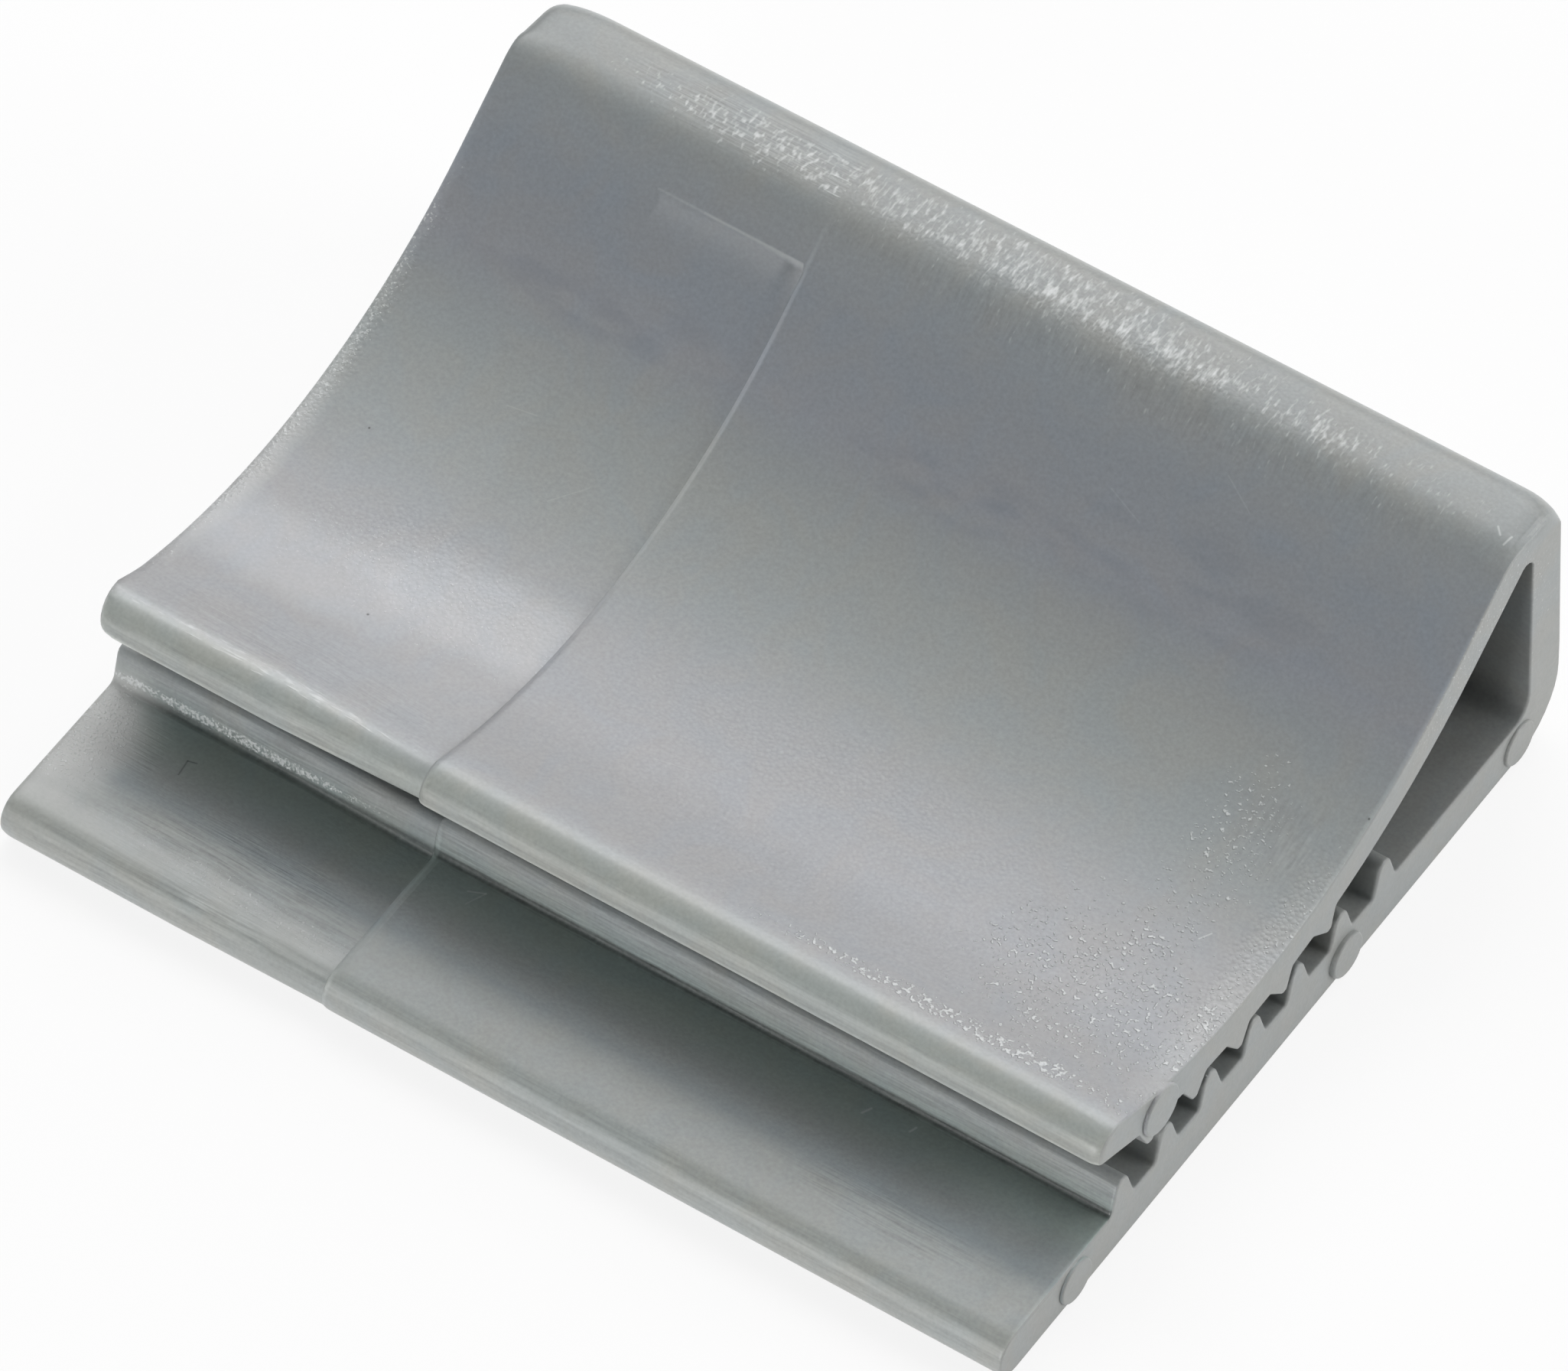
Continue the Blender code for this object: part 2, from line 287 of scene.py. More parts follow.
FAR_SPARKS = (
    (
        (0.07, 0.07, 0.07),
        8,
        0.6,
        0.15,
        (
            ((-9.8, -6.4, 1.45), (5.4, 0.2, 0.18), 1.3),
            ((-12.7, 1, 4), (0.6, 8, 4), 0.8),
            ((-12.4, -7.8, 1.2), (1.6, 2.2, 0.5), 0.8),
            ((-7.8, -2.2, 3.4), (5.4, 1.8, 1.4), 0.45),
            ((-6.8, -9.6, 1.2), (5.6, 0.6, 0.4), 0.6),
        ),
    ),
    (
        (0.11, 0.2, 0.2),
        8,
        0.6,
        0.25,
        (((-6.6, 9.25, 7.4), (4.8, 0.8, 0.7), 1.0),),
    ),
    (
        (0.4, 0.07, 0.07),
        8,
        0.6,
        0.25,
        (
            ((-4.9, 9.3, 7.35), (1.6, 0.8, 0.7), 0.6),
            ((-8.4, -6.27, 4.16), (6.0, 0.3, 0.3), 0.9),
        ),
    ),
)
END_SPARKS = (((0.08, 0.08, 0.08), 6, 0.5, 0.15, (((12.7, 7.5, 5), (1, 4, 4), 0.5),)),)

# Painted light and shade: centre, reach and change of tone. Painted highlights lighten the lip's
# crest, the nose, the seam's rim and the rims of the end faces; painted light lifts the lip's front
# and the shaded gap under it; painted shade darkens the crease at the ridge's foot; bands of painted
# light lie on the far arm and along the base's front; the rest are faint lifts and dips of painted
# light and shade.
LIP_CREST = (0, -6.28, 4.2)
LIP_FRONT = (0, -6.91, 3.84)
LIP_FOOT = (0, -6.97, 3.46)
RIDGE_FOOT = (0, -6.47, 1.26)
FAR_RIDGE_FOOT = (0, -6.49, 1.18)
NOSE_LINE = (0, -10.46, 1.0)
NEAR_PAINTED_LIGHT = (
    (LIP_CREST, (60, 0.2, 0.25), 0.1),
    (LIP_FRONT, (60, 0.14, 0.14), 0.15),
    (LIP_FOOT, (60, 0.14, 0.14), 0.45),
    (RIDGE_FOOT, (60, 0.18, 0.16), -0.75),
    (NOSE_LINE, (60, 0.15, 0.18), 0.25),
    ((12.62, -8.3, 1.15), (0.12, 2.8, 0.3), 0.3),
    ((4, -4.7, 3.6), (30, 1.5, 1.2), -0.06),
    ((12.62, 2.5, 4.5), (0.12, 9, 4), 0.25),
    ((-4.38, 3.5, 4.5), (0.11, 9.5, 4), 0.4),
    ((-4.38, -7.4, 1.2), (0.12, 6.0, 1.2), 0.3),
)
FAR_PAINTED_LIGHT = (
    (LIP_CREST, (60, 0.24, 0.25), 0.25),
    (LIP_FRONT, (60, 0.12, 0.14), 0.12),
    (LIP_FOOT, (60, 0.14, 0.14), 0.45),
    (FAR_RIDGE_FOOT, (60, 0.16, 0.28), -0.65),
    (NOSE_LINE, (60, 0.14, 0.18), 0.2),
    ((-10.4, -2.95, 3.35), (4.8, 1.6, 1.1), 0.24),
    ((-5.6, -1.9, 3.3), (5.0, 1.6, 1.1), 0.34),
    ((-8.5, 3.0, 4.0), (10, 4.0, 2.5), 0.04),
    ((-7.5, -9.85, 1.2), (9, 0.55, 0.6), 0.15),
    ((-12.75, 3, 4.5), (0.4, 8, 4), 0.2),
)

# Hairs and scratches, and a painted highlight along a crease on the far arm: from, to, width and how
# pale (below 0 is dark)
NEAR_HAIRS = (
    ((11.0, -0.75, 3.3), (11.15, -0.5, 3.3), 0.03, 0.5),
    ((-3.25, -6.9, 1.2), (-2.9, -6.75, 1.2), 0.035, 0.35),
    ((-3.1, -7.2, 1.2), (-2.9, -6.75, 1.2), 0.03, 0.25),
    ((6.85, -7.1, 1.2), (6.95, -6.9, 1.2), 0.05, 0.4),
    ((7.95, -6.95, 1.2), (8.0, -6.8, 1.2), 0.05, 0.4),
    ((11.95, 9.05, 7.3), (12.1, 8.9, 7.3), 0.04, 0.45),
    ((12.28, 8.75, 7.25), (12.32, 9.0, 7.3), 0.04, 0.45),
    ((4.0, 6.5, 5.8), (4.9, 6.2, 5.6), 0.025, 0.08),
    ((6.2, 7.6, 6.6), (7.0, 7.2, 6.3), 0.025, 0.08),
    ((-1.0, -3.2, 3.3), (-0.2, -3.0, 3.3), 0.025, 0.1),
)
FAR_HAIRS_AND_CREASE_HIGHLIGHT = (
    ((-10.15, -7.35, 1.2), (-9.95, -7.3, 1.2), 0.035, -0.5),
    ((-10.15, -7.35, 1.2), (-10.1, -7.75, 1.2), 0.035, -0.5),
    # These two pale lines are a painted highlight along a crease of the far arm's upper slope.
    ((-8.2, 7.49, 6.52), (-4.5, 7.47, 6.5), 0.04, 0.1),
    ((-7.0, 7.48, 6.51), (-4.5, 7.47, 6.5), 0.045, 0.12),
    ((-6.8, 1.2, 3.45), (-6.2, 1.9, 3.6), 0.025, 0.12),
    ((-8.8, 2.6, 3.85), (-8.1, 2.7, 3.85), 0.025, 0.1),
)

# Dark specks: centre and radius
NEAR_SPECKS = (((12.55, 3.3, 4.0), 0.04),)
FAR_SPECKS = (((-11.1, 0.75, 3.4), 0.04), ((-8.2, -3.4, 3.4), 0.05))

# Broad darker blue smudges: centre, reach and how strong
NEAR_SMUDGES = (
    ((1.2, 5.1, 4.9), (3.6, 0.9, 1.2), 0.35),
    ((6.5, 5.6, 5.2), (4.6, 1.5, 1.7), 0.28),
    ((10.8, 2.3, 3.8), (1.4, 1.3, 1.0), 0.12),
)
FAR_SMUDGES = (((-8, 5.2, 5.0), (4.5, 1.0, 1.2), 0.3),)

# Painted light: pale frosty places at the ends and along the base's front, where the plastic's edges
# look
# paler as light shines through them: centre, reach and how strong
NEAR_FROSTY_GLOWS = (((12.6, -1.6, 3.4), (0.9, 5.4, 1.8), 0.3),)
FAR_FROSTY_GLOWS = (
    ((-12.6, -7.8, 1.2), (1.9, 2.5, 1.0), 0.95),
    ((-7.5, -9.85, 1.2), (9, 0.6, 0.6), 0.35),
    ((-12.75, -1.2, 3.4), (0.8, 4.6, 2.0), 0.55),
)

# Colours of the marks and of painted light: the frosty glow colour is painted light shining through
# edges, and the pale colour paints the sparks' glints as well as pale scratches
SMUDGE_COLOUR = (0.17, 0.19, 0.22, 1)
FROSTY_GLOW_COLOUR = (0.50, 0.505, 0.495, 1)
PALE_COLOUR = (0.72, 0.74, 0.74, 1)
DARK_COLOUR = (0.03, 0.032, 0.03, 1)

# Roughness of each skin, and the size and strength of its slow change
NEAR_SHEEN = 0.38
FAR_SHEEN = 0.36
END_SHEEN = 0.42
SHEEN_SIZE = (0.8, 0.4, 0.4)
SHEEN_CHANGE = 0.12

# Slow change between two tones over the plastic
WARM_TONE = (1.02, 1.0, 0.98, 1)
COOL_TONE = (0.98, 1.0, 1.02, 1)
MOTTLE_SCALE = 0.55
MOTTLE_DETAIL = 5
MOTTLE_DISTORTION = 1.2
MOTTLE_RANGE = (0.3, 0.7)

# Patches: how far their rims fade, and how ragged the rims of marks and of tones are
PATCH_RIM = (1.0, 0.35)
RAGGED_SIZE = (0.7, 0.7, 0.7)
RAGGED = 0.5
TONE_RAGGED = 0.4

# Sparks: the level of noise where they begin and, before their softness is added, where they
# are full, how much thick-lying sparks raise the noise, and how thick they lie where they set in
SPARK_LEVEL = 0.70
SPARK_FULL = 0.8
SPARK_GAIN = 0.25
SPARK_RIM = 0.1

# Size of the streaks in a smudge, and the grain heights between which they darken to full
SMUDGE_SIZE = (1.6, 0.5, 0.5)
SMUDGE_RANGE = (-0.1, 0.15)

# How far a rounded cell reaches from its middle
CELL_REACH = 0.9

# How much a distance along X, Y and Z counts beside a hair: little in height
HAIR_WEIGHTS = (1, 1, 0.15)

# The three skins: the order of their materials, and how squarely an end face looks along X
NEAR_SKIN = 0
FAR_SKIN = 1
END_SKIN = 2
END_FACING = 0.7

MILLIMETRES = 1000
MICROMETRE = 1e-6


def make_active(piece):
    """Selects this object alone."""
    bpy.ops.object.select_all(action="DESELECT")
    piece.select_set(True)
    bpy.context.view_layer.objects.active = piece


def edit(piece):
    """Enters edit mode with the whole mesh selected."""
    make_active(piece)
    bpy.ops.object.mode_set(mode="EDIT")
    bpy.ops.mesh.select_all(action="SELECT")


def leave_edit():
    """Goes back to object mode."""
    bpy.ops.object.mode_set(mode="OBJECT")


def edit_only(piece, kind, wanted):
    """Enters edit mode with only the wanted vertices, edges or polygons selected."""
    edit(piece)
    bpy.ops.mesh.select_all(action="DESELECT")
    leave_edit()
    for element in getattr(piece.data, kind):
        element.select = wanted(element)
    bpy.ops.object.mode_set(mode="EDIT")


def apply_modifier(piece, modifier):
    """Makes the modifier's result the piece's own mesh."""
    make_active(piece)
    bpy.ops.object.modifier_apply(modifier=modifier.name)


def direction(azimuth, elevation):
    """Unit vector outwards, from degrees round Z from the front and up from the floor."""
    turn, lift = math.radians(azimuth), math.radians(elevation)
    return Vector(
        (math.sin(turn) * math.cos(lift), -math.cos(turn) * math.cos(lift), math.sin(lift))
    )


def add_camera():
    """The photograph's view: a long lens from the front right, looking down."""
    outward = direction(CAMERA_AZIMUTH, CAMERA_ELEVATION)
    place = CAMERA_AIM + outward * CAMERA_DISTANCE
    roll = Quaternion((0, 0, 1), math.radians(CAMERA_ROLL))
    turn = outward.to_track_quat("Z", "Y") @ roll
    bpy.ops.object.camera_add(location=place, rotation=turn.to_euler())
    camera = bpy.context.object
    camera.name = "photo_camera"
    camera.data.lens = CAMERA_LENS
    camera.data.sensor_width = CAMERA_SENSOR
    camera.data.clip_start = CAMERA_CLIP
    bpy.context.scene.camera = camera


def add_softbox(name, azimuth, elevation, distance, side, power):
    """A square soft lamp that faces the object."""
    outward = direction(azimuth, elevation)
    bpy.ops.object.light_add(type="AREA", location=outward * distance)
    lamp = bpy.context.object
    lamp.name = name
    lamp.rotation_euler = outward.to_track_quat("Z", "Y").to_euler()
    lamp.data.shape = "SQUARE"
    lamp.data.size = side
    lamp.data.energy = power
    lamp.visible_camera = False


def plug(tree, socket, value):
    """Links a socket to a socket, or sets it to a plain value."""
    if isinstance(value, bpy.types.NodeSocket):
        tree.links.new(value, socket)
    else:
        socket.default_value = value


def compute(tree, operation, first, second):
    """One step of arithmetic on sockets or plain values."""
    node = tree.nodes.new("ShaderNodeMath")
    node.operation = operation
    plug(tree, node.inputs[0], first)
    plug(tree, node.inputs[1], second)
    return node.outputs["Value"]


def compute_vector(tree, operation, first, second):
    """One step of vector arithmetic on sockets or plain values."""
    node = tree.nodes.new("ShaderNodeVectorMath")
    node.operation = operation
    plug(tree, node.inputs[0], first)
    plug(tree, node.inputs[1], second)
    return node.outputs["Value" if operation == "DOT_PRODUCT" else "Vector"]


def enlarge(tree, vector, scale):
    node = tree.nodes.new("ShaderNodeVectorMath")
    node.operation = "SCALE"
    plug(tree, node.inputs[0], vector)
    plug(tree, node.inputs["Scale"], scale)
    return node.outputs["Vector"]


def length_of(tree, vector):
    node = tree.nodes.new("ShaderNodeVectorMath")
    node.operation = "LENGTH"
    plug(tree, node.inputs[0], vector)
    return node.outputs["Value"]


def fade(tree, value, start, end, low=0.0, high=1.0):
    """Smooth step from low, where the value is at start, to high, where it is at end."""
    node = tree.nodes.new("ShaderNodeMapRange")
    node.interpolation_type = "SMOOTHSTEP"
    plug(tree, node.inputs["Value"], value)
    plug(tree, node.inputs["From Min"], start)
    plug(tree, node.inputs["From Max"], end)
    plug(tree, node.inputs["To Min"], low)
    plug(tree, node.inputs["To Max"], high)
    return node.outputs["Result"]


def blend(tree, share, first, second, kind="MIX"):
    """Colour between the first and the second."""
    node = tree.nodes.new("ShaderNodeMix")
    node.data_type = "RGBA"
    node.blend_type = kind
    plug(tree, node.inputs["Factor"], share)
    plug(tree, node.inputs[6], first)
    plug(tree, node.inputs[7], second)
    return node.outputs[2]


def add_noise(tree, vector, scale=1, detail=1, distortion=0):
    """Cloudy noise, mostly 0.3 to 0.7."""
    noise = tree.nodes.new("ShaderNodeTexNoise")
    noise.inputs["Scale"].default_value = scale
    noise.inputs["Detail"].default_value = detail
    noise.inputs["Distortion"].default_value = distortion
    plug(tree, noise.inputs["Vector"], vector)
    return noise.outputs["Fac"]


def seen_directly(tree):
    """1 for rays from the camera, off gloss or through clear material, 0 for the rest."""
    path = tree.nodes.new("ShaderNodeLightPath").outputs
    seen = compute(tree, "MAXIMUM", path["Is Camera Ray"], path["Is Glossy Ray"])
    return compute(tree, "MAXIMUM", seen, path["Is Transmission Ray"])


def floor_material():
    """White paper floor: nearly white to the eye, and it still takes the object's shadow."""
    material = bpy.data.materials.new("white_floor")
    material.use_nodes = True
    tree = material.node_tree
    paper = tree.nodes["Principled BSDF"]
    paper.inputs["Base Color"].default_value = FLOOR_COLOUR
    paper.inputs["Roughness"].default_value = FLOOR_ROUGHNESS
    glow = tree.nodes.new("ShaderNodeEmission")
    glow.inputs["Color"].default_value = WHITE
    glow.inputs["Strength"].default_value = 1
    mix = tree.nodes.new("ShaderNodeMixShader")
    share = compute(tree, "MULTIPLY", seen_directly(tree), FLOOR_WHITENESS)
    plug(tree, mix.inputs["Fac"], share)
    plug(tree, mix.inputs[1], paper.outputs["BSDF"])
    plug(tree, mix.inputs[2], glow.outputs["Emission"])
    plug(tree, tree.nodes["Material Output"].inputs["Surface"], mix.outputs["Shader"])
    return material


def add_floor():
    """A wide white floor under the part."""
    bpy.ops.mesh.primitive_plane_add(size=FLOOR_SIZE, location=(0, 0, 0))
    floor = bpy.context.object
    floor.name = "studio_floor"
    floor.data.materials.append(floor_material())


def light_world():
    """Faint light from all round."""
    world = bpy.data.worlds.new("studio")
    world.use_nodes = True
    background = world.node_tree.nodes["Background"]
    background.inputs["Color"].default_value = WORLD_COLOUR
    background.inputs["Strength"].default_value = WORLD_STRENGTH
    bpy.context.scene.world = world


def merged_copy(node, name):
    """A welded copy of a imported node, its triangles paired into quads where they are flat."""
    piece = bpy.data.objects.new(name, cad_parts[node].data.copy())
    bpy.context.scene.collection.objects.link(piece)
    piece.data.materials.clear()
    edit(piece)
    bpy.ops.mesh.remove_doubles(threshold=MERGE)
    bpy.ops.mesh.tris_convert_to_quads(face_threshold=FLAT_FACE_ANGLE, shape_threshold=math.pi)
    leave_edit()
    return piece


def cut_off(piece, x, side):
    """Cuts the piece square at x, drops what lies beyond on that side and closes the cut."""
    edit(piece)
    bpy.ops.mesh.bisect(
        plane_co=(x, 0, 0),
        plane_no=(side, 0, 0),
        use_fill=True,
        clear_outer=True,
        threshold=MERGE,
    )
    leave_edit()
    edit_only(piece, "vertices", lambda vertex: abs(vertex.co.x - x) < MERGE)
    bpy.ops.mesh.remove_doubles(threshold=END_MERGE)
    leave_edit()


def section_places():
    """Where the body gets rings: evenly along it, and closer at the seam and the near end."""
    count = round((NEAR_FACE - FAR_FACE) / SECTION_SPACING)
    for i in range(1, count):
        x = FAR_FACE + (NEAR_FACE - FAR_FACE) * i / count
        if not SEAM - SECTION_SPACING < x < SEAM + SEAM_ROUND + SECTION_SPACING:
            yield x
    for i in range(-2, SEAM_SECTIONS + 1):
        yield SEAM + SEAM_ROUND * (i + 0.5) / SEAM_SECTIONS
    for i in range(1, NEAR_END_SECTIONS):
        yield NEAR_FACE - NEAR_EDGE - NEAR_LIP_CORNER[0] * i / NEAR_END_SECTIONS


def cut_sections(piece):
    """Gives the piece a ring of vertices at each section."""
    for x in section_places():
        edit(piece)
        bpy.ops.mesh.bisect(plane_co=(x, 0, 0), plane_no=(1, 0, 0), threshold=MERGE)
        leave_edit()


def round_end(piece, x, side, inward, length):
    """Builds the soft edge of an end face from a run of narrow insets."""
    edit_only(
        piece,
        "polygons",
        lambda face: abs(face.center.x - x) < MERGE and face.normal.x * side > SQUARE_TO_X,
    )
    for i in range(EDGE_STEPS):
        start = math.pi / 2 * i / EDGE_STEPS
        end = math.pi / 2 * (i + 1) / EDGE_STEPS
        bpy.ops.mesh.inset(
            thickness=inward * (math.cos(start) - math.cos(end)),
            depth=length * (math.sin(end) - math.sin(start)),
        )
    bpy.ops.mesh.inset(thickness=EDGE_SUPPORT, depth=0)
    leave_edit()


def ejector_pad(y, z, radius, height):
    """One round pad with a soft rim, rooted in the near face."""
    bpy.ops.mesh.primitive_cylinder_add(
        vertices=PAD_SIDES,
        radius=radius,
        depth=PAD_ROOT + height,
        location=(NEAR_FACE + (height - PAD_ROOT) / 2, y, z),
        rotation=(0, math.pi / 2, 0),
    )
    pad = bpy.context.object
    bpy.ops.object.transform_apply(location=True, rotation=True, scale=True)
    top = NEAR_FACE + height - MERGE
    edit_only(
        pad,
        "edges",
        lambda edge: all(pad.data.vertices[i].co.x > top for i in edge.vertices),
    )
    bpy.ops.mesh.bevel(offset=min(PAD_EDGE, height * PAD_EDGE_SHARE), segments=PAD_EDGE_STEPS)
    leave_edit()
    return pad


def join_pads(piece):
    """Unites the four pads with the body."""
    pads = [ejector_pad(*values) for values in PADS]
    make_active(pads[0])
    for pad in pads[1:]:
        pad.select_set(True)
    bpy.ops.object.join()
    join = piece.modifiers.new("pads", "BOOLEAN")
    join.operation = "UNION"
    join.object = pads[0]
    apply_modifier(piece, join)
    bpy.data.objects.remove(pads[0])


def clamp(value):
    """The value, kept within 0 to 1."""
    return max(0, min(1, value))


def ease(share):
    """Smooth step from 0 to 1."""
    return share**2 * (3 - 2 * share)


def quarter_round(along):
    """How far a quarter circle has turned away, 0 to 1."""
    return 1 - math.sqrt(1 - along**2)


def soften_near_arm(piece):
    """Lets the arm's top dip towards the near end."""
    for vertex in piece.data.vertices:
        x, y, z = vertex.co
        along = (x - (NEAR_FACE - DIP_LENGTH)) / DIP_LENGTH
        if along <= 0 or not FRONT < y < DIP_FROM:
            continue
        top = ARM_LOW_Z + ARM_RADIUS - math.sqrt(ARM_RADIUS**2 - (y - ARM_LOW_Y) ** 2)
        upper = clamp((z - top) / ARM_THICKNESS + 1)
        share = clamp((DIP_FROM - y) / (DIP_FROM - DIP_FULL))
        vertex.co.z -= DIP_DEPTH * along**2 * upper * ease(share)


def round_lip(piece, end, length, depth):
    """Draws the lip back where it meets an end face."""
    for vertex in piece.data.vertices:
        x, y, z = vertex.co
        along = 1 - abs(x - end) / length
        if along <= 0 or y > LIP_CORNER_FROM or z < ARM_LOW_Z:
            continue
        share = clamp((LIP_CORNER_FROM - y) / (LIP_CORNER_FROM - LIP_CORNER_FULL))
        vertex.co.y += depth * share * quarter_round(along)


def round_crown(piece, end, length, depth):
    """Draws the crown down and forward where it meets an end face."""
    for vertex in piece.data.vertices:
        x, y, z = vertex.co
        along = 1 - abs(x - end) / length
        if along <= 0:
            continue
        backward = (y - CROWN_CORNER_Y[0]) / (CROWN_CORNER_Y[1] - CROWN_CORNER_Y[0])
        upward = (z - CROWN_CORNER_Z[0]) / (CROWN_CORNER_Z[1] - CROWN_CORNER_Z[0])
        drop = depth * ease(clamp(backward) * clamp(upward)) * quarter_round(along)
        vertex.co.y -= drop
        vertex.co.z -= drop


def moulded_body():
    """The whole moulding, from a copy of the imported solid."""
    piece = merged_copy("clip_body", "moulded_body")
    cut_off(piece, NEAR_FACE - NEAR_EDGE, 1)
    cut_off(piece, FAR_FACE + FAR_EDGE_LENGTH, -1)
    cut_sections(piece)
    round_end(piece, NEAR_FACE - NEAR_EDGE, 1, NEAR_EDGE, NEAR_EDGE)
    round_end(piece, FAR_FACE + FAR_EDGE_LENGTH, -1, FAR_EDGE, FAR_EDGE_LENGTH)
    soften_near_arm(piece)
    round_lip(piece, FAR_FACE, *FAR_LIP_CORNER)
    round_lip(piece, NEAR_FACE, *NEAR_LIP_CORNER)
    round_crown(piece, FAR_FACE, *FAR_CROWN_CORNER)
    round_crown(piece, NEAR_FACE, *NEAR_CROWN_CORNER)
    join_pads(piece)
    make_active(piece)
    bpy.ops.object.shade_smooth_by_angle(angle=SMOOTH_ANGLE)
    level = piece.modifiers.new("level_faces", "WEIGHTED_NORMAL")
    level.mode = "FACE_AREA_WITH_ANGLE"
    level.keep_sharp = True
    apply_modifier(piece, level)
    return piece


def new_group(name, inputs, output, kind):
    """A shader node group; its given and its made sockets."""
    group = bpy.data.node_groups.new(name, "ShaderNodeTree")
    for socket, socket_kind in inputs:
        group.interface.new_socket(socket, in_out="INPUT", socket_type=socket_kind)
    group.interface.new_socket(output, in_out="OUTPUT", socket_type=kind)
    given = group.nodes.new("NodeGroupInput").outputs
    made = group.nodes.new("NodeGroupOutput").inputs
    return group, given, made[output]


def place_group(tree, name, **values):
    """What the named group makes from these values."""
    node = tree.nodes.new("ShaderNodeGroup")
    node.node_tree = bpy.data.node_groups[name]
    for socket, value in values.items():
        plug(tree, node.inputs[socket], value)
    return node.outputs[0]


def build_patch_group():
    """Mask of a soft patch about a centre, its rim made ragged by the given amount."""
    inputs = (
        ("Place", "NodeSocketVector"),
        ("Centre", "NodeSocketVector"),
        ("Reach", "NodeSocketVector"),
        ("Ragged", "NodeSocketFloat"),
    )
    group, given, mask = new_group("patch", inputs, "Mask", "NodeSocketFloat")
    away = compute_vector(group, "SUBTRACT", given["Place"], given["Centre"])
    away = length_of(group, compute_vector(group, "DIVIDE", away, given["Reach"]))
    plug(group, mask, fade(group, compute(group, "ADD", away, given["Ragged"]), *PATCH_RIM))


def build_grain_group():
    """Height of fine irregular bumps, -0.5 to 0.5, stretched as Size says."""
    inputs = (("Place", "NodeSocketVector"), ("Size", "NodeSocketVector"))
    group, given, height = new_group("grain", inputs, "Height", "NodeSocketFloat")
    noise = add_noise(group, compute_vector(group, "DIVIDE", given["Place"], given["Size"]))
    plug(group, height, compute(group, "SUBTRACT", noise, 0.5))


def build_cells_group():
    """Height of rounded cells that lie side by side, -0.5 to 0.5, as on leather or orange peel."""
    inputs = (("Place", "NodeSocketVector"), ("Size", "NodeSocketVector"))
    group, given, height = new_group("cells", inputs, "Height", "NodeSocketFloat")
    cells = group.nodes.new("ShaderNodeTexVoronoi")
    cells.inputs["Scale"].default_value = 1
    plug(group, cells.inputs["Vector"], compute_vector(group, "DIVIDE", given["Place"], given["Size"]))
    plug(group, height, fade(group, cells.outputs["Distance"], 0, CELL_REACH, 0.5, -0.5))


def build_sparks_group():
    """Mask of irregular sparks, which lie the thicker the larger Share is."""
    inputs = (
        ("Place", "NodeSocketVector"),
        ("Size", "NodeSocketVector"),
        ("Share", "NodeSocketFloat"),
        ("Softness", "NodeSocketFloat"),
    )
    group, given, mask = new_group("sparks", inputs, "Mask", "NodeSocketFloat")
    noise = add_noise(group, compute_vector(group, "DIVIDE", given["Place"], given["Size"]))
    raised = compute(group, "MULTIPLY", given["Share"], SPARK_GAIN)
    raised = compute(group, "ADD", noise, raised)
    full = compute(group, "ADD", given["Softness"], SPARK_FULL)
    here = fade(group, given["Share"], 0, SPARK_RIM)
    plug(group, mask, compute(group, "MULTIPLY", fade(group, raised, SPARK_LEVEL, full), here))


def build_hair_group():
    """Mask of a thin straight mark; the height counts little, so that it follows a curved face."""
    inputs = (
        ("Place", "NodeSocketVector"),
        ("From", "NodeSocketVector"),
        ("To", "NodeSocketVector"),
        ("Width", "NodeSocketFloat"),
    )
    group, given, mask = new_group("hair", inputs, "Mask", "NodeSocketFloat")
    away = compute_vector(group, "SUBTRACT", given["Place"], given["From"])
    away = compute_vector(group, "MULTIPLY", away, HAIR_WEIGHTS)
    along = compute_vector(group, "SUBTRACT", given["To"], given["From"])
    along = compute_vector(group, "MULTIPLY", along, HAIR_WEIGHTS)
    share = compute(
        group,
        "DIVIDE",
        compute_vector(group, "DOT_PRODUCT", away, along),
        compute_vector(group, "DOT_PRODUCT", along, along),
    )
    share = compute(group, "MAXIMUM", compute(group, "MINIMUM", share, 1), 0)
    nearest = compute_vector(group, "SUBTRACT", away, enlarge(group, along, share))
    plug(group, mask, fade(group, length_of(group, nearest), given["Width"], 0))


def build_mottle_group():
    """Slow change from a warm to a cool tone over the plastic, as it flowed into the mould."""
    inputs = (
        ("Place", "NodeSocketVector"),
        ("Warm", "NodeSocketColor"),
        ("Cool", "NodeSocketColor"),
    )
    group, given, colour = new_group("mottle", inputs, "Colour", "NodeSocketColor")
    noise = add_noise(group, given["Place"], MOTTLE_SCALE, MOTTLE_DETAIL, MOTTLE_DISTORTION)
    share = fade(group, noise, *MOTTLE_RANGE)
    plug(group, colour, blend(group, share, given["Warm"], given["Cool"]))


def colours_along(tree, y, stops):
    """Colour ramp along Y through the stops (place in millimetres, linear colour)."""
    low, high = stops[0][0], stops[-1][0]
    share = tree.nodes.new("ShaderNodeMapRange")
    plug(tree, share.inputs["Value"], y)
    plug(tree, share.inputs["From Min"], low)
    plug(tree, share.inputs["From Max"], high)
    node = tree.nodes.new("ShaderNodeValToRGB")
    plug(tree, node.inputs["Fac"], share.outputs["Result"])
    elements = node.color_ramp.elements
    for i, (place, colour) in enumerate(stops):
        position = (place - low) / (high - low)
        element = elements[i] if i < 2 else elements.new(position)
        element.position = position
        element.color = (*colour, 1)
    return node.outputs["Color"]


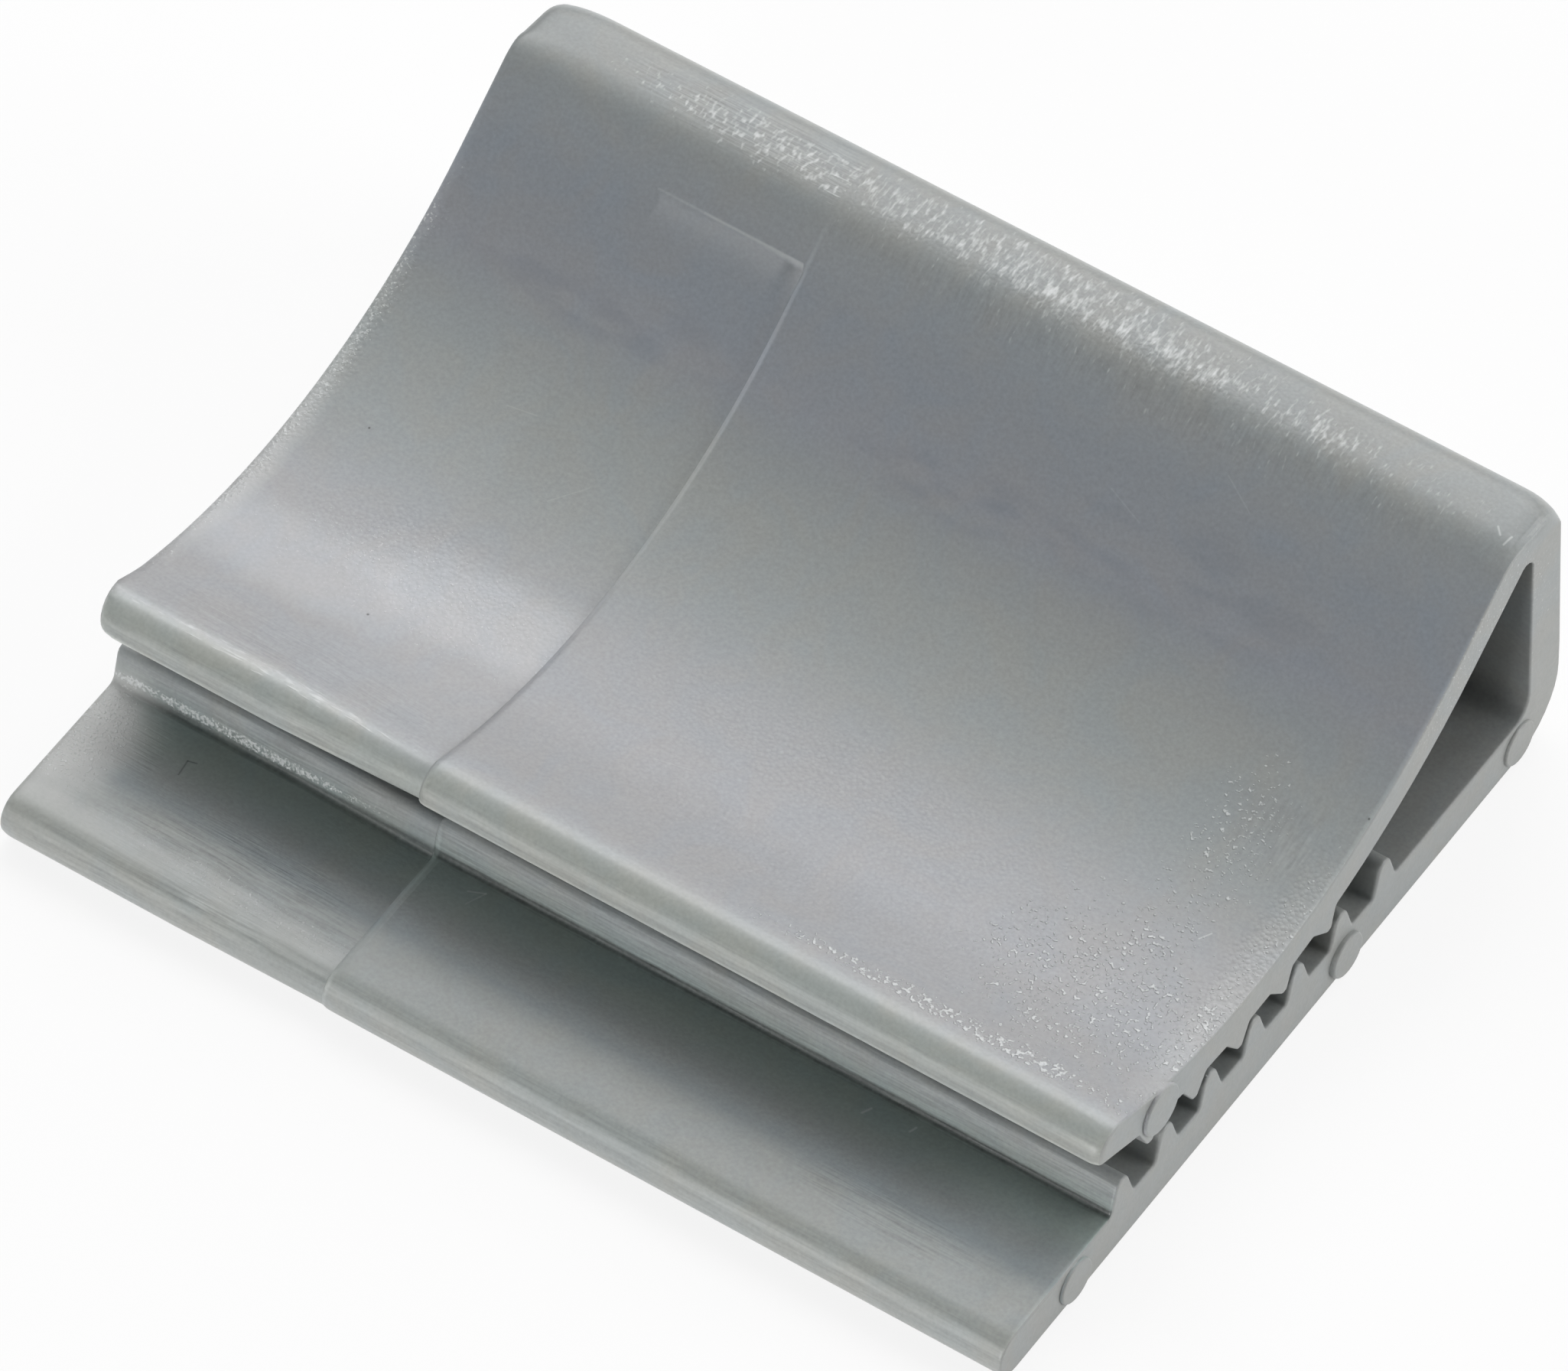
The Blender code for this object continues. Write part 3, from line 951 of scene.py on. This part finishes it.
def spread(tree, place, ragged, patches):
    """Sum of the patches' masks, each times its own value; a patch is centre, reach, value."""
    result = 0
    for centre, reach, value in patches:
        mask = value
        if (centre, reach) != EVERYWHERE:
            mask = place_group(tree, "patch", Place=place, Centre=centre, Reach=reach, Ragged=ragged)
            mask = compute(tree, "MULTIPLY", mask, value)
        result = compute(tree, "ADD", result, mask)
    return result


def add_textures(tree, place, ragged, textures, tone):
    """Height of the textures, and the tone with the change that they bring."""
    height = 0
    for kind, size, contrast, patches in textures:
        bumps = place_group(tree, kind, Place=place, Size=size)
        bumps = compute(tree, "MULTIPLY", bumps, spread(tree, place, ragged, patches))
        height = compute(tree, "ADD", height, bumps)
        tone = compute(tree, "ADD", tone, compute(tree, "MULTIPLY", bumps, contrast))
    return height, tone


def colour_with_painted_light(tree, place, colours, tone):
    """Colour of the plastic with painted light and shade: the base's colours low down and the arm's
    above, mottled and toned, where the tone holds painted light and shade.
    """
    parts = tree.nodes.new("ShaderNodeSeparateXYZ")
    plug(tree, parts.inputs["Vector"], place)
    y, z = parts.outputs["Y"], parts.outputs["Z"]
    base = colours_along(tree, y, colours[0])
    arm = colours_along(tree, y, colours[1])
    colour = blend(tree, fade(tree, z, *ARM_ABOVE), base, arm)
    mottle = place_group(tree, "mottle", Place=place, Warm=WARM_TONE, Cool=COOL_TONE)
    return enlarge(tree, blend(tree, 1, colour, mottle, "MULTIPLY"), tone)


def add_smudges(tree, place, ragged, smudges, colour):
    """The colour with dark streaky smudges."""
    streaks = place_group(tree, "grain", Place=place, Size=SMUDGE_SIZE)
    streaks = fade(tree, streaks, *SMUDGE_RANGE)
    dark = compute(tree, "MULTIPLY", spread(tree, place, ragged, smudges), streaks)
    return blend(tree, dark, colour, SMUDGE_COLOUR)


def add_frosty_glows(tree, place, ragged, frosty_glows, colour):
    """The colour with pale frosty places, painted light where edges look lit through the plastic."""
    pale = compute(tree, "MINIMUM", spread(tree, place, ragged, frosty_glows), 1)
    return blend(tree, pale, colour, FROSTY_GLOW_COLOUR)


def add_sparks(tree, place, ragged, sparks, height, colour):
    """The height with raised sparks, and the colour with their painted glints in pale."""
    for size, tall, pale, softness, patches in sparks:
        share = spread(tree, place, ragged, patches)
        mask = place_group(tree, "sparks", Place=place, Size=size, Share=share, Softness=softness)
        height = compute(tree, "ADD", height, compute(tree, "MULTIPLY", mask, tall))
        colour = blend(tree, compute(tree, "MULTIPLY", mask, pale), colour, PALE_COLOUR)
    return height, colour


def add_fine_marks(tree, place, hairs_and_highlights, specks, colour):
    """The colour with hairs, scratches, a painted highlight along a crease, and dark specks."""
    for start, end, width, pale in hairs_and_highlights:
        mask = place_group(tree, "hair", Place=place, From=start, To=end, Width=width)
        mark = PALE_COLOUR if pale > 0 else DARK_COLOUR
        colour = blend(tree, compute(tree, "MULTIPLY", mask, abs(pale)), colour, mark)
    for centre, radius in specks:
        mask = place_group(tree, "hair", Place=place, From=centre, To=centre, Width=radius)
        colour = blend(tree, mask, colour, DARK_COLOUR)
    return colour


def plastic(name, sheen, colours, textures, sparks, hairs_and_highlights, specks, smudges, frosty_glows, painted_light):
    """Satin grey plastic with the marks of one part of the mould, and painted light and shade in its
    colour.
    """
    material = bpy.data.materials.new(name)
    material.use_nodes = True
    tree = material.node_tree
    shader = tree.nodes["Principled BSDF"]
    place = tree.nodes.new("ShaderNodeTexCoord").outputs["Object"]
    place = enlarge(tree, place, MILLIMETRES)
    ragged = place_group(tree, "grain", Place=place, Size=RAGGED_SIZE)
    ragged = compute(tree, "MULTIPLY", ragged, RAGGED)
    soft = compute(tree, "MULTIPLY", ragged, TONE_RAGGED)

    # Painted light and shade raise or lower the tone in patches.
    tone = compute(tree, "ADD", 1, spread(tree, place, soft, painted_light))
    height, tone = add_textures(tree, place, ragged, textures, tone)
    colour = colour_with_painted_light(tree, place, colours, tone)
    if smudges:
        colour = add_smudges(tree, place, ragged, smudges, colour)
    # Painted light: pale frosty places where edges look lit through the plastic.
    if frosty_glows:
        colour = add_frosty_glows(tree, place, soft, frosty_glows, colour)
    # Sparks: raised bumps, each with a painted glint in pale.
    height, colour = add_sparks(tree, place, ragged, sparks, height, colour)
    colour = add_fine_marks(tree, place, hairs_and_highlights, specks, colour)

    change = place_group(tree, "grain", Place=place, Size=SHEEN_SIZE)
    roughness = compute(tree, "ADD", compute(tree, "MULTIPLY", change, SHEEN_CHANGE), sheen)
    bump = tree.nodes.new("ShaderNodeBump")
    bump.inputs["Strength"].default_value = 1
    bump.inputs["Distance"].default_value = MICROMETRE
    plug(tree, bump.inputs["Height"], height)
    plug(tree, shader.inputs["Base Color"], colour)
    plug(tree, shader.inputs["Roughness"], roughness)
    plug(tree, shader.inputs["Normal"], bump.outputs["Normal"])
    return material


def dress(piece):
    """Near insert's skin, far insert's skin and the end faces, each with its own marks."""
    near = plastic(
        "near_plastic",
        NEAR_SHEEN,
        (BASE_SHADED_COLOURS, ARM_SHADED_COLOURS),
        NEAR_TEXTURES,
        NEAR_SPARKS,
        NEAR_HAIRS,
        NEAR_SPECKS,
        NEAR_SMUDGES,
        NEAR_FROSTY_GLOWS,
        NEAR_PAINTED_LIGHT,
    )
    far = plastic(
        "far_plastic",
        FAR_SHEEN,
        (BASE_SHADED_COLOURS, ARM_SHADED_COLOURS),
        FAR_TEXTURES,
        FAR_SPARKS,
        FAR_HAIRS_AND_CREASE_HIGHLIGHT,
        FAR_SPECKS,
        FAR_SMUDGES,
        FAR_FROSTY_GLOWS,
        FAR_PAINTED_LIGHT,
    )
    end = plastic(
        "end_plastic",
        END_SHEEN,
        (END_COLOURS, END_COLOURS),
        END_TEXTURES,
        END_SPARKS,
        hairs_and_highlights=(),
        specks=(),
        smudges=(),
        frosty_glows=(),
        painted_light=(),
    )
    for material in (near, far, end):
        piece.data.materials.append(material)
    for polygon in piece.data.polygons:
        if abs(polygon.normal.x) > END_FACING:
            polygon.material_index = END_SKIN
        elif polygon.center.x < SEAM:
            polygon.material_index = FAR_SKIN
        else:
            polygon.material_index = NEAR_SKIN


def main():
    bpy.context.scene.view_settings.view_transform = "Standard"
    add_camera()
    add_floor()
    light_world()
    for name, values in SOFTBOXES.items():
        add_softbox(name, *values)
    build_patch_group()
    build_grain_group()
    build_cells_group()
    build_sparks_group()
    build_hair_group()
    build_mottle_group()
    body = moulded_body()
    dress(body)
    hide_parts("clip_body")
    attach(body, "root")


main()
